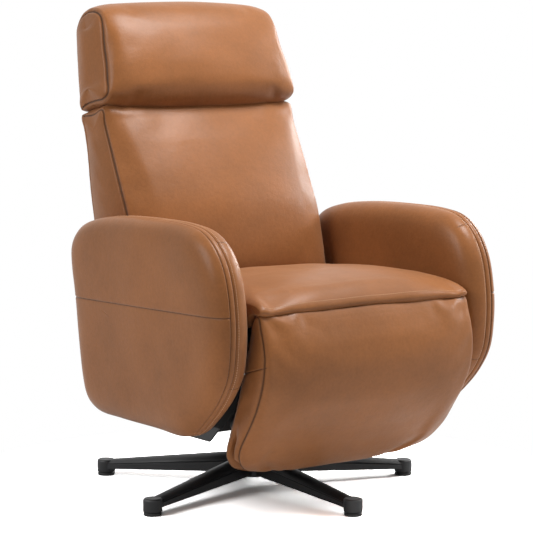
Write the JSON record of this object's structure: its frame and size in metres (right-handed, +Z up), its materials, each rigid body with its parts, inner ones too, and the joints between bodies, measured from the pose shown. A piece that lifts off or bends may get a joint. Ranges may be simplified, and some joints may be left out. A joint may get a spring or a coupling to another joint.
{
  "type": "swivel recliner",
  "caption": "Swivel recliner on a star base, with a reclining back, tilting headrest, swing-up footrest and rounded padded arms.",
  "frame": {"origin": "bottom centre of the chair's bounding box, on the floor; the swivel axis stands 28 mm behind it", "axes": "+Z up, the chair faces -Y, +X is the sitter's left"},
  "size_m": [0.727, 0.7836, 1.0472],
  "materials": {
    "leather": "saddle tan semi-aniline leather with a fine grain and a soft sheen",
    "black_metal": "black satin powder coat",
    "steel": "zinc-plated steel",
    "plastic": "black moulded plastic",
    "rubber": "black rubber",
    "cloth": "black lining cloth",
    "webbing": "dark elastic webbing",
    "plywood": "bare plywood"
  },
  "bodies": {
    "base": {"star_base": "black_metal", "floor_glides": "plastic", "base_column": "black_metal", "swivel_bush": "plastic"},
    "chassis": {"swivel_spindle": "steel", "retaining_ring": "steel", "swivel_plate": "black_metal", "plate_bolts": "steel", "plate_nuts": "steel", "lower_rail_front": "black_metal", "lower_rail_rear": "black_metal", "side_plate_left": "black_metal", "side_plate_right": "black_metal", "front_seat_rail": "black_metal", "rear_seat_rail": "black_metal", "seat_webbing": "webbing", "seat_cushion": "leather", "footrest_pins": "steel", "recline_pins": "steel", "hinge_washers": "plastic", "footrest_stops": "rubber", "arm_spacers": "steel", "arm_bolts": "steel", "arm_inserts": "steel", "arm_core_left": "plywood", "arm_core_right": "plywood", "arm_inner_pad_left": "leather", "arm_inner_pad_right": "leather", "arm_outer_pad_left": "leather", "arm_outer_pad_right": "leather", "side_cloth_left": "cloth", "side_cloth_right": "cloth", "spring_bracket": "black_metal", "spring_pin_front": "steel"},
    "backrest": {"back_hinge_left": "black_metal", "back_hinge_right": "black_metal", "back_lower_rail": "black_metal", "back_top_rail": "black_metal", "back_upright_left": "black_metal", "back_upright_right": "black_metal", "back_webbing": "webbing", "back_cushion": "leather", "back_shell": "leather", "recline_arm": "black_metal", "spring_pin_rear": "steel", "headrest_hinge_lower": "steel", "headrest_pins": "steel"},
    "headrest": {"headrest_hinge_upper": "steel", "headrest_plate": "plywood", "headrest_cushion": "leather"},
    "footrest": {"footrest_lever_left": "black_metal", "footrest_lever_right": "black_metal", "footrest_board": "plywood", "footrest_screws": "steel", "footrest_cushion": "leather"},
    "gas_spring_cylinder": {"spring_cylinder": "black_metal"},
    "gas_spring_rod": {"spring_rod": "steel"}
  },
  "joints": [
    {"name": "swivel", "type": "hinge", "parent": "base", "child": "chassis", "pos_m": [0, 0.028, 0.143], "axis": [0, 0, 1], "continuous": true},
    {"name": "recline", "type": "hinge", "parent": "chassis", "child": "backrest", "pos_m": [0, 0.203, 0.385], "axis": [-1, 0, 0], "range_deg": [0, 38]},
    {"name": "headrest_tilt", "type": "hinge", "parent": "backrest", "child": "headrest", "pos_m": [0, 0.24, 0.829], "axis": [1, 0, 0], "range_deg": [0, 40]},
    {"name": "footrest_swing", "type": "hinge", "parent": "chassis", "child": "footrest", "pos_m": [0, -0.352, 0.425], "axis": [-1, 0, 0], "range_deg": [0, 82]},
    {"name": "gas_spring_tilt", "type": "hinge", "parent": "chassis", "child": "gas_spring_cylinder", "pos_m": [0, -0.072, 0.215], "axis": [1, 0, 0], "range_deg": [0, 3.9]},
    {"name": "gas_spring_stroke", "type": "slide", "parent": "gas_spring_cylinder", "child": "gas_spring_rod", "axis": [0, 0.9329, 0.3601], "range_m": [-0.0355, 0]}
  ],
  "couplings": [
    {"joint": "gas_spring_tilt", "follows": "recline", "ratio": 0.099},
    {"joint": "gas_spring_stroke", "follows": "recline", "m_per_rad": -0.0522}
  ]
}
